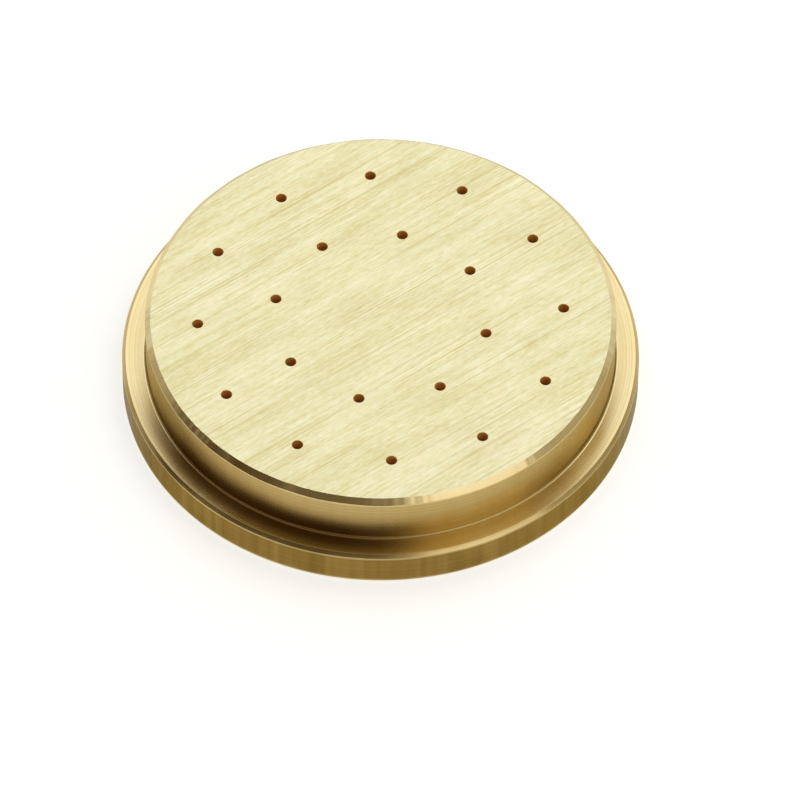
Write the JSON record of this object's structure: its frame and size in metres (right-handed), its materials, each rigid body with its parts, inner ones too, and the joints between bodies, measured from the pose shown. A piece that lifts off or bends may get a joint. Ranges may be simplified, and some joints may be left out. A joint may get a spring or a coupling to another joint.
{
  "type": "pasta extrusion die",
  "caption": "Round brass extrusion die: a flanged disc with rings of fine drilled holes that shape dough into strands, clamped by its flange under a ring nut.",
  "frame": {"origin": "centre of the inlet face, on the die's axis, which is the surface that it stands on", "axes": "+Z along the die's axis, from the inlet face towards the outlet face; +X through one hole of each ring"},
  "size_m": [0.078, 0.078, 0.0145],
  "materials": {
    "brass": "straight-ground outlet face, turned sides and shoulder"
  },
  "bodies": {
    "root": {"die": "brass"}
  },
  "joints": []
}
